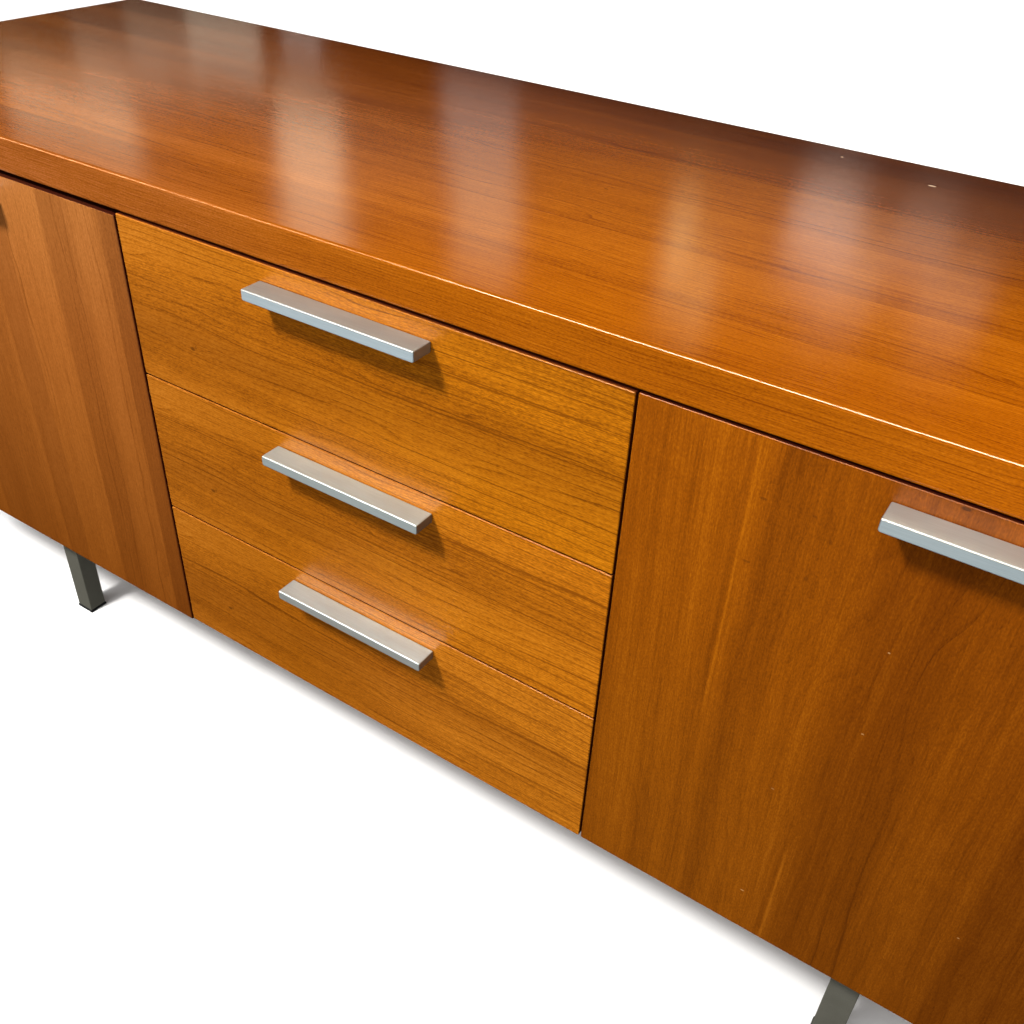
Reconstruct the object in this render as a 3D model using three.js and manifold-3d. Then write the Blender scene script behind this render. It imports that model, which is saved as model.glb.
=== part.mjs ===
// Office credenza: slab top on two gables, a bay of three drawers between two
// door bays, standing on four square tube legs.
// Millimetres, +Z up, front towards -Y, origin on the floor at the middle of
// the overall box.

import * as THREE from 'three';
import { mergeVertices } from 'three/addons/utils/BufferGeometryUtils.js';
import Module from 'manifold-3d';

const wasm = await Module();
wasm.setup();

// ---------------------------------------------------------------- dimensions
const LENGTH = 1880; // over the gables
const SLAB_DEPTH = 580;
const SLAB_T = 40;
const FRONT_BOTTOM = 161; // floor to the lower edge of the fronts
const CASE_H = 559; // lower edge of the fronts to the slab's underside
const MODULE = 600; // pitch of the three bays
const GABLE_T = 40;
const PANEL_T = 19;
const FRONT_T = 19;
const BACK_T = 8;
const BACK_INSET = 10;
const GAP = 2.6; // shadow gap between fronts
const CLEAR = 0.3; // joint clearance between fitted pieces
const RAIL_W = 70;
const SHELF_Z = 433; // underside of the shelves

// drawer fronts: lower and upper edges above FRONT_BOTTOM
const DRAWER_ROWS = {
  bottom: [0, 185.8],
  middle: [188.2, 370.6],
  top: [372.6, 556],
};
const RIGHT_DOOR_TOP = 557.2;
const LEFT_DOOR_DROP = 3; // the left door hangs a little low on its hinges
const LEFT_DOOR_TOP = 556;

// handle: channel pull, open below
const HANDLE_L = 202;
const HANDLE_REACH = 26;
const HANDLE_H = 11.5;
const HANDLE_TOP_T = 2.5;
const HANDLE_LIP_T = 3.5;
const HANDLE_END = 9; // solid ends that take the fixing screws on 192 centres
const HANDLE_R = 2.4;
const DRAWER_HANDLE_DROP = 17.3; // below the upper edge of its front
const DOOR_HANDLE_DROP = 15.7;
const DRAWER_HANDLE_X = 1.5; // the drawer handles sit a little right of the middle
const DOOR_HANDLE_X = 603;

// drawer box
const BOX_LIFT = 30; // box foot above the lower edge of its front
const SIDE_H = 118;
const SIDE_L = 450;
const SIDE_OUT = 274; // half width over the side walls
const SHEET = 1.5;
const RAIL_OUT = 286; // half width over the running rails
const RAIL_LO = 15;
const RAIL_HI = 39;
const BOX_BOTTOM_T = 12;
const BOX_BACK_T = 16;

// cabinet runner: channel that the running rail slides in
const RUNNER_L = 450;
const RUNNER_LO = 11;
const RUNNER_HI = 43;
const RUNNER_T = 2;
const RUNNER_IN = 275.5;

// under-frame
const LEG_X = 600;
const LEG_W = 30;
const LEG_D = 26;
const LEG_WALL = 2;
const LEG_SETBACK = 25.5;
const FOOT_T = 4;
const FOOT_LIP = 1;
const FOOT_PLUG = 16;
const FRAME_RAIL_H = 20;

// butt hinges
const HINGE_H = 60;
const HINGE_Z = [208, 608]; // foot of each hinge
const HINGE_LEAF_T = 0.9;
const HINGE_LEAF_W = 19.5;
const HINGE_R = 3;
const HINGE_PIN_R = 1.4;
const HINGE_BORE_R = 1.6;
const HINGE_OUT = 3.5; // axis in front of the door's face

// ------------------------------------------------------------- derived planes
const HALF = LENGTH / 2;
const FRONT_Y = -(SLAB_DEPTH + HANDLE_REACH) / 2 + HANDLE_REACH;
const REAR_Y = FRONT_Y + SLAB_DEPTH;
const FRONT_BACK_Y = FRONT_Y + FRONT_T;
const INNER_Y = FRONT_BACK_Y + 1; // front edges of the case panels
const GABLE_IN = HALF - GABLE_T;
const CASE_TOP = FRONT_BOTTOM + CASE_H;
const BACK_Y1 = REAR_Y - BACK_INSET;
const BACK_Y0 = BACK_Y1 - BACK_T;
const CASE_REAR_Y = BACK_Y0 - CLEAR;
const PART_X = MODULE / 2;
const FLOOR_Z0 = FRONT_BOTTOM + 1;
const FLOOR_Z1 = FLOOR_Z0 + PANEL_T;
const RAIL_Z0 = CASE_TOP - CLEAR - PANEL_T;
const DOOR_IN = PART_X + GAP / 2;
const DOOR_OUT = GABLE_IN - GAP;

// ------------------------------------------------------------------ materials
const finish = (color, roughness, metalness) => ({ color, roughness, metalness });
const CHERRY_TOP = finish(0xa8602f, 0.32, 0);
const CHERRY_DRAWER = finish(0xb66a2e, 0.38, 0);
const CHERRY_DOOR = finish(0x8f4f2a, 0.38, 0);
const CHERRY_CASE = finish(0x9c5a2e, 0.45, 0);
const SATIN_ALUMINIUM = finish(0xb4b3ae, 0.32, 1);
const GREY_METAL = finish(0x8b8f8a, 0.42, 0.7);
const BLACK_PLASTIC = finish(0x1b1b1c, 0.6, 0);
const ZINC_STEEL = finish(0xb9bcc0, 0.35, 1);
const GREY_STEEL = finish(0x9a9c9e, 0.5, 0.3);

const credenza = new THREE.Group();
credenza.name = 'office_credenza';

function put(name, geometry, look) {
  const mesh = new THREE.Mesh(geometry, new THREE.MeshStandardMaterial(look));
  mesh.name = name;
  credenza.add(mesh);
  return mesh;
}

// ------------------------------------------------------------ geometry helpers
function bare(geometry) {
  const g = geometry.index ? geometry : mergeVertices(geometry);
  g.deleteAttribute('normal');
  g.deleteAttribute('uv');
  return mergeVertices(g, 1e-4);
}

function box(x0, x1, y0, y1, z0, z1) {
  const g = new THREE.BoxGeometry(x1 - x0, y1 - y0, z1 - z0);
  g.translate((x0 + x1) / 2, (y0 + y1) / 2, (z0 + z1) / 2);
  return bare(g);
}

function outline(points) {
  return new THREE.Shape(points.map(([a, b]) => new THREE.Vector2(a, b)));
}

function extrude(points, holes, depth) {
  const shape = outline(points);
  for (const h of holes) shape.holes.push(new THREE.Path(h.map(([a, b]) => new THREE.Vector2(a, b))));
  return bare(new THREE.ExtrudeGeometry(shape, { depth, bevelEnabled: false, curveSegments: 6 }));
}

// profile in X and Z, swept from y0 to y1
function alongY(points, holes, y0, y1) {
  const g = extrude(points, holes, y1 - y0);
  g.rotateX(Math.PI / 2);
  g.translate(0, y1, 0);
  return g;
}

// profile in Y and Z, swept from x0 to x1
function alongX(points, holes, x0, x1) {
  const g = extrude(points, holes, x1 - x0);
  const m = new THREE.Matrix4().makeBasis(
    new THREE.Vector3(0, 1, 0),
    new THREE.Vector3(0, 0, 1),
    new THREE.Vector3(1, 0, 0),
  );
  g.applyMatrix4(m);
  g.translate(x0, 0, 0);
  return g;
}

// profile in X and Y, swept from z0 to z1
function alongZ(points, holes, z0, z1) {
  const g = extrude(points, holes, z1 - z0);
  g.translate(0, 0, z0);
  return g;
}

function rod(x, y, z0, z1, r) {
  const g = new THREE.CylinderGeometry(r, r, z1 - z0, 24);
  g.rotateX(Math.PI / 2);
  g.translate(x, y, (z0 + z1) / 2);
  return bare(g);
}

function solid(geometry) {
  return new wasm.Manifold(new wasm.Mesh({
    numProp: 3,
    vertProperties: Float32Array.from(geometry.attributes.position.array),
    triVerts: Uint32Array.from(geometry.index.array),
  }));
}

function surface(manifold) {
  const m = manifold.getMesh();
  const g = new THREE.BufferGeometry();
  g.setAttribute('position', new THREE.BufferAttribute(Float32Array.from(m.vertProperties), 3));
  g.setIndex(new THREE.BufferAttribute(Uint32Array.from(m.triVerts), 1));
  return g;
}

const join = (...parts) => surface(parts.map(solid).reduce((a, b) => a.add(b)));
const cut = (a, ...parts) => surface(parts.map(solid).reduce((s, b) => s.subtract(b), solid(a)));

function mirrored(geometry) {
  const g = geometry.clone();
  g.scale(-1, 1, 1);
  const i = g.index.array;
  for (let k = 0; k < i.length; k += 3) [i[k], i[k + 1]] = [i[k + 1], i[k]];
  return g;
}

const rect = (a0, a1, b0, b1) => [[a0, b0], [a1, b0], [a1, b1], [a0, b1]];

// ------------------------------------------------------------------------ case
put('top_slab', box(-HALF, HALF, FRONT_Y, REAR_Y, CASE_TOP, CASE_TOP + SLAB_T), CHERRY_TOP);

for (const [side, s] of [['left', -1], ['right', 1]]) {
  const xs = [s * GABLE_IN, s * HALF].sort((a, b) => a - b);
  put(`${side}_gable`, box(xs[0], xs[1], FRONT_Y, REAR_Y, FRONT_BOTTOM, CASE_TOP - CLEAR), CHERRY_CASE);

  // partition, notched at its upper corners for the two top rails
  const y0 = INNER_Y;
  const y1 = CASE_REAR_Y;
  const z0 = FLOOR_Z1 + CLEAR;
  const z1 = CASE_TOP - CLEAR;
  const zn = RAIL_Z0 - CLEAR;
  const n = RAIL_W + CLEAR;
  const profile = [
    [y0, z0], [y1, z0], [y1, zn], [y1 - n, zn], [y1 - n, z1],
    [y0 + n, z1], [y0 + n, zn], [y0, zn],
  ];
  const px = s * PART_X;
  put(`${side}_partition`, alongX(profile, [], px - PANEL_T / 2, px + PANEL_T / 2), CHERRY_CASE);

  // shelf, fixed half way up the door bay
  const a = GABLE_IN - CLEAR;
  const b = PART_X + PANEL_T / 2 + CLEAR;
  const shelf = box(-a, -b, INNER_Y + 18, CASE_REAR_Y, SHELF_Z, SHELF_Z + PANEL_T);
  put(`${side}_shelf`, s < 0 ? shelf : mirrored(shelf), CHERRY_CASE);
}

const IN = GABLE_IN - CLEAR;
put('bottom_panel', box(-IN, IN, INNER_Y, CASE_REAR_Y, FLOOR_Z0, FLOOR_Z1), CHERRY_CASE);
put('back_panel', box(-IN, IN, BACK_Y0, BACK_Y1, FLOOR_Z0, CASE_TOP - CLEAR), CHERRY_CASE);
put('front_top_rail', box(-IN, IN, INNER_Y, INNER_Y + RAIL_W, RAIL_Z0, CASE_TOP - CLEAR), CHERRY_CASE);
put('rear_top_rail', box(-IN, IN, CASE_REAR_Y - RAIL_W, CASE_REAR_Y, RAIL_Z0, CASE_TOP - CLEAR), CHERRY_CASE);

// ---------------------------------------------------------------------- handles
// channel with a hanging front lip, solid ends and rounded lower corners
function handle(cx, top) {
  const h = HANDLE_L / 2;
  const pts = [[-h, 0]];
  for (let k = 0; k <= 4; k++) {
    const t = Math.PI + (k / 4) * (Math.PI / 2);
    pts.push([-h + HANDLE_R + HANDLE_R * Math.cos(t), -HANDLE_H + HANDLE_R + HANDLE_R * Math.sin(t)]);
  }
  for (let k = 0; k <= 4; k++) {
    const t = -Math.PI / 2 + (k / 4) * (Math.PI / 2);
    pts.push([h - HANDLE_R + HANDLE_R * Math.cos(t), -HANDLE_H + HANDLE_R + HANDLE_R * Math.sin(t)]);
  }
  pts.push([h, 0]);
  const y0 = FRONT_Y - HANDLE_REACH;
  const y1 = FRONT_Y - CLEAR;
  const bar = alongY(pts, [], y0, y1);
  const pocket = box(-h + HANDLE_END, h - HANDLE_END, y0 + HANDLE_LIP_T, y1 + 1, -HANDLE_H - 1, -HANDLE_TOP_T);
  const g = cut(bar, pocket);
  g.translate(cx, 0, top);
  return g;
}

// ------------------------------------------------------------------------ doors
const leftBottom = FRONT_BOTTOM - LEFT_DOOR_DROP;
const leftTop = FRONT_BOTTOM + LEFT_DOOR_TOP - LEFT_DOOR_DROP;
const rightTop = FRONT_BOTTOM + RIGHT_DOOR_TOP;
put('left_door', box(-DOOR_OUT, -DOOR_IN, FRONT_Y, FRONT_BACK_Y, leftBottom, leftTop), CHERRY_DOOR);
put('right_door', box(DOOR_IN, DOOR_OUT, FRONT_Y, FRONT_BACK_Y, FRONT_BOTTOM, rightTop), CHERRY_DOOR);
put('left_door_handle', handle(-DOOR_HANDLE_X, leftTop - DOOR_HANDLE_DROP), SATIN_ALUMINIUM);
put('right_door_handle', handle(DOOR_HANDLE_X, rightTop - DOOR_HANDLE_DROP), SATIN_ALUMINIUM);

// butt hinges in the gap between door and gable, knuckle in front of the faces
const AXIS_X = GABLE_IN - GAP / 2;
const AXIS_Y = FRONT_Y - HINGE_OUT;
const CLEAR_R = HINGE_R + 0.4;
const KNUCKLE = HINGE_H / 3;

// gable leaf: outer two knuckles and the pin
function gableLeaf(z) {
  const x1 = -AXIS_X - 0.3;
  const x0 = x1 - HINGE_LEAF_T;
  return join(
    box(x0, x1, AXIS_Y + CLEAR_R, AXIS_Y + HINGE_LEAF_W, z, z + HINGE_H),
    box(x0, x1, AXIS_Y, AXIS_Y + CLEAR_R + 1, z, z + KNUCKLE),
    box(x0, x1, AXIS_Y, AXIS_Y + CLEAR_R + 1, z + 2 * KNUCKLE, z + HINGE_H),
    rod(-AXIS_X, AXIS_Y, z, z + KNUCKLE, HINGE_R),
    rod(-AXIS_X, AXIS_Y, z + 2 * KNUCKLE, z + HINGE_H, HINGE_R),
    rod(-AXIS_X, AXIS_Y, z + 1, z + HINGE_H - 1, HINGE_PIN_R),
  );
}

// door leaf: middle knuckle, bored for the pin
function doorLeaf(z) {
  const x0 = -AXIS_X + 0.3;
  const x1 = x0 + HINGE_LEAF_T;
  const k0 = z + KNUCKLE + CLEAR;
  const k1 = z + 2 * KNUCKLE - CLEAR;
  const leaf = join(
    box(x0, x1, AXIS_Y + CLEAR_R, AXIS_Y + HINGE_LEAF_W, z, z + HINGE_H),
    box(x0, x1, AXIS_Y, AXIS_Y + CLEAR_R + 1, k0, k1),
    rod(-AXIS_X, AXIS_Y, k0, k1, HINGE_R),
  );
  return cut(leaf, rod(-AXIS_X, AXIS_Y, k0 - 1, k1 + 1, HINGE_BORE_R));
}

for (const [level, z] of [['lower', HINGE_Z[0]], ['upper', HINGE_Z[1]]]) {
  const g = gableLeaf(z);
  const d = doorLeaf(z);
  put(`left_${level}_hinge_gable_leaf`, g, ZINC_STEEL);
  put(`left_${level}_hinge_door_leaf`, d, ZINC_STEEL);
  put(`right_${level}_hinge_gable_leaf`, mirrored(g), ZINC_STEEL);
  put(`right_${level}_hinge_door_leaf`, mirrored(d), ZINC_STEEL);
}

// magnetic catches under the front top rail
const catchBlock = box(-400, -356, FRONT_BACK_Y + 0.6, FRONT_BACK_Y + 22, RAIL_Z0 - CLEAR - 13, RAIL_Z0 - CLEAR);
put('left_door_catch', catchBlock, BLACK_PLASTIC);
put('right_door_catch', mirrored(catchBlock), BLACK_PLASTIC);

// ---------------------------------------------------------------------- drawers
// folded steel side: foot flange, wall, hollow running rail and turned-in rim
function sideProfile() {
  const w = SIDE_OUT;
  const t = SHEET;
  return [
    [w - 24, 0], [w, 0], [w, RAIL_LO], [RAIL_OUT, RAIL_LO], [RAIL_OUT, RAIL_HI], [w, RAIL_HI],
    [w, SIDE_H], [w - 12, SIDE_H], [w - 12, SIDE_H - 18], [w - 12 + t, SIDE_H - 18],
    [w - 12 + t, SIDE_H - t], [w - t, SIDE_H - t], [w - t, t], [w - 24, t],
  ];
}
const railBore = rect(SIDE_OUT, RAIL_OUT - 2, RAIL_LO + 2, RAIL_HI - 2);

// channel open towards the drawer, its web against the partition
function runnerProfile() {
  const x0 = RUNNER_IN;
  const x1 = PART_X - PANEL_T / 2 - CLEAR;
  const t = RUNNER_T;
  return [
    [x0, RUNNER_LO], [x1, RUNNER_LO], [x1, RUNNER_HI], [x0, RUNNER_HI],
    [x0, RUNNER_HI - t], [x1 - t, RUNNER_HI - t], [x1 - t, RUNNER_LO + t], [x0, RUNNER_LO + t],
  ];
}

const DRAWER_HALF = PART_X - GAP / 2;
for (const row of ['top', 'middle', 'bottom']) {
  const z0 = FRONT_BOTTOM + DRAWER_ROWS[row][0];
  const z1 = FRONT_BOTTOM + DRAWER_ROWS[row][1];
  const zs = z0 + BOX_LIFT;
  const ya = FRONT_BACK_Y + CLEAR;
  const yb = ya + SIDE_L;
  put(`${row}_drawer_front`, box(-DRAWER_HALF, DRAWER_HALF, FRONT_Y, FRONT_BACK_Y, z0, z1), CHERRY_DRAWER);
  put(`${row}_drawer_handle`, handle(DRAWER_HANDLE_X, z1 - DRAWER_HANDLE_DROP), SATIN_ALUMINIUM);

  const right = alongY(sideProfile(), [railBore], ya, yb);
  right.translate(0, 0, zs);
  put(`${row}_drawer_right_side`, right, GREY_STEEL);
  put(`${row}_drawer_left_side`, mirrored(right), GREY_STEEL);

  const w = SIDE_OUT - SHEET - CLEAR;
  const floor = zs + SHEET + CLEAR;
  put(`${row}_drawer_bottom`, box(-w, w, ya, yb, floor, floor + BOX_BOTTOM_T), GREY_STEEL);
  put(`${row}_drawer_back`, box(-w, w, yb - BOX_BACK_T, yb, floor + BOX_BOTTOM_T + CLEAR, zs + SIDE_H - 18 - CLEAR), GREY_STEEL);

  const runner = alongY(runnerProfile(), [], INNER_Y + 8, INNER_Y + 8 + RUNNER_L);
  runner.translate(0, 0, zs);
  put(`${row}_right_runner`, runner, ZINC_STEEL);
  put(`${row}_left_runner`, mirrored(runner), ZINC_STEEL);
}

// ------------------------------------------------------------------ under-frame
const FRONT_LEG_Y = FRONT_Y + LEG_SETBACK;
const REAR_LEG_Y = REAR_Y - LEG_SETBACK - LEG_D;
const LEG_TOP = FLOOR_Z0 - CLEAR;
for (const [side, s] of [['left', -1], ['right', 1]]) {
  const x = s * LEG_X;
  const xw = LEG_W / 2;
  for (const [end, y] of [['front', FRONT_LEG_Y], ['rear', REAR_LEG_Y]]) {
    const tube = alongZ(
      rect(x - xw, x + xw, y, y + LEG_D),
      [rect(x - xw + LEG_WALL, x + xw - LEG_WALL, y + LEG_WALL, y + LEG_D - LEG_WALL)],
      FOOT_T + CLEAR, LEG_TOP,
    );
    put(`${end}_${side}_leg`, tube, GREY_METAL);
    const c = LEG_WALL + CLEAR;
    const foot = join(
      box(x - xw - FOOT_LIP, x + xw + FOOT_LIP, y - FOOT_LIP, y + LEG_D + FOOT_LIP, 0, FOOT_T),
      box(x - xw + c, x + xw - c, y + c, y + LEG_D - c, FOOT_T - 1, FOOT_T + FOOT_PLUG),
    );
    put(`${end}_${side}_foot`, foot, BLACK_PLASTIC);
  }
  const r = LEG_WALL;
  const z0 = LEG_TOP - FRAME_RAIL_H;
  const rail = alongY(
    rect(x - xw, x + xw, z0, LEG_TOP),
    [rect(x - xw + r, x + xw - r, z0 + r, LEG_TOP - r)],
    FRONT_LEG_Y + LEG_D + CLEAR, REAR_LEG_Y - CLEAR,
  );
  put(`${side}_frame_rail`, rail, GREY_METAL);
}

export default credenza;
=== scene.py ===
"""Looks of the office credenza: lacquered cherry veneer, satin aluminium handles,
grey metal legs with black pads, zinc steel fittings."""

import math

import bmesh
import bpy
from mathutils import Matrix, Vector


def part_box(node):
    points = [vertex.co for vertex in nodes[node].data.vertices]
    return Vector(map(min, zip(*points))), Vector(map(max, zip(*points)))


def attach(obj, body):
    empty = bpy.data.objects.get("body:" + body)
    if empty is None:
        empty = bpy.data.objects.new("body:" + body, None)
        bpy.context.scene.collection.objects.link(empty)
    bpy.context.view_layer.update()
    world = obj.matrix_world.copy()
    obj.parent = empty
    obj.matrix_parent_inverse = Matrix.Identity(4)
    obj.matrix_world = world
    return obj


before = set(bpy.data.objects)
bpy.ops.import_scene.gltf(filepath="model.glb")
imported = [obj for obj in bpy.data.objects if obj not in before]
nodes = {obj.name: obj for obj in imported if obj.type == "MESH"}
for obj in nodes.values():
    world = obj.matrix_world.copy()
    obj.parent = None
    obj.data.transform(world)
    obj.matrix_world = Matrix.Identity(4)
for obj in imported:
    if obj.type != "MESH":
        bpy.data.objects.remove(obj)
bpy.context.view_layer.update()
scene = bpy.context.scene


# ---------------------------------------------------------------- node helpers
class Graph:
    """Small helper that builds one material's node tree."""

    def __init__(self, name):
        self.mat = bpy.data.materials.new(name)
        self.mat.use_nodes = True
        self.tree = self.mat.node_tree
        self.tree.nodes.clear()
        self.out = self.tree.nodes.new("ShaderNodeOutputMaterial")
        self.bsdf = self.tree.nodes.new("ShaderNodeBsdfPrincipled")
        self.tree.links.new(self.bsdf.outputs[0], self.out.inputs[0])
        self._xyz = None

    def node(self, kind, **props):
        n = self.tree.nodes.new(kind)
        for k, v in props.items():
            setattr(n, k, v)
        return n

    def put(self, socket, value):
        if isinstance(value, bpy.types.NodeSocket):
            self.tree.links.new(value, socket)
        else:
            socket.default_value = value

    def xyz(self):
        if self._xyz is None:
            tc = self.node("ShaderNodeTexCoord")
            sep = self.node("ShaderNodeSeparateXYZ")
            self.tree.links.new(tc.outputs["Object"], sep.inputs[0])
            self._xyz = sep.outputs
        return self._xyz

    def math(self, op, a, b=0.0, c=0.0, clamp=False):
        n = self.node("ShaderNodeMath", operation=op, use_clamp=clamp)
        self.put(n.inputs[0], a)
        if len(n.inputs) > 1:
            self.put(n.inputs[1], b)
        if len(n.inputs) > 2:
            self.put(n.inputs[2], c)
        return n.outputs[0]

    def add(self, a, b):
        if isinstance(a, (int, float)) and isinstance(b, (int, float)):
            return a + b
        return self.math("ADD", a, b)

    def mul(self, a, b):
        if isinstance(a, (int, float)) and isinstance(b, (int, float)):
            return a * b
        return self.math("MULTIPLY", a, b)

    def vec(self, x, y, z):
        n = self.node("ShaderNodeCombineXYZ")
        for s, v in zip(n.inputs, (x, y, z)):
            self.put(s, v)
        return n.outputs[0]

    def noise(self, vector, scale=1.0, detail=2.0, rough=0.5, distort=0.0):
        n = self.node("ShaderNodeTexNoise", noise_dimensions="3D")
        self.put(n.inputs["Vector"], vector)
        n.inputs["Scale"].default_value = scale
        n.inputs["Detail"].default_value = detail
        n.inputs["Roughness"].default_value = rough
        n.inputs["Distortion"].default_value = distort
        return n.outputs["Fac"]

    def stretch(self, value, a, b, c=0.0, d=1.0, smooth=False):
        n = self.node("ShaderNodeMapRange", clamp=True)
        n.interpolation_type = "SMOOTHSTEP" if smooth else "LINEAR"
        self.put(n.inputs["Value"], value)
        for k, v in (("From Min", a), ("From Max", b), ("To Min", c), ("To Max", d)):
            self.put(n.inputs[k], v)
        return n.outputs["Result"]

    def ramp(self, value, stops):
        n = self.node("ShaderNodeValToRGB")
        e = n.color_ramp.elements
        while len(e) < len(stops):
            e.new(0.5)
        for el, (p, col) in zip(e, stops):
            el.position = p
            el.color = (*col, 1.0)
        self.put(n.inputs[0], value)
        return n.outputs[0]

    def mix(self, fac, a, b, blend="MIX"):
        n = self.node("ShaderNodeMix", data_type="RGBA", blend_type=blend)
        self.put(n.inputs[0], fac)
        self.put(n.inputs[6], a if isinstance(a, bpy.types.NodeSocket) else (*a, 1.0))
        self.put(n.inputs[7], b if isinstance(b, bpy.types.NodeSocket) else (*b, 1.0))
        return n.outputs[2]

    def bump(self, height, strength, distance, normal=None):
        n = self.node("ShaderNodeBump")
        n.inputs["Strength"].default_value = strength
        n.inputs["Distance"].default_value = distance
        self.put(n.inputs["Height"], height)
        if normal is not None:
            self.put(n.inputs["Normal"], normal)
        return n.outputs[0]

    def set(self, **kw):
        names = {
            "color": "Base Color", "rough": "Roughness", "metal": "Metallic", "normal": "Normal",
            "spec": "Specular IOR Level", "ior": "IOR", "aniso": "Anisotropic",
            "coat": "Coat Weight", "coat_rough": "Coat Roughness",
        }
        for k, v in kw.items():
            s = self.bsdf.inputs[names[k]]
            if k == "color" and not isinstance(v, bpy.types.NodeSocket):
                v = (*v, 1.0)
            self.put(s, v)
        return self.mat


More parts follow.
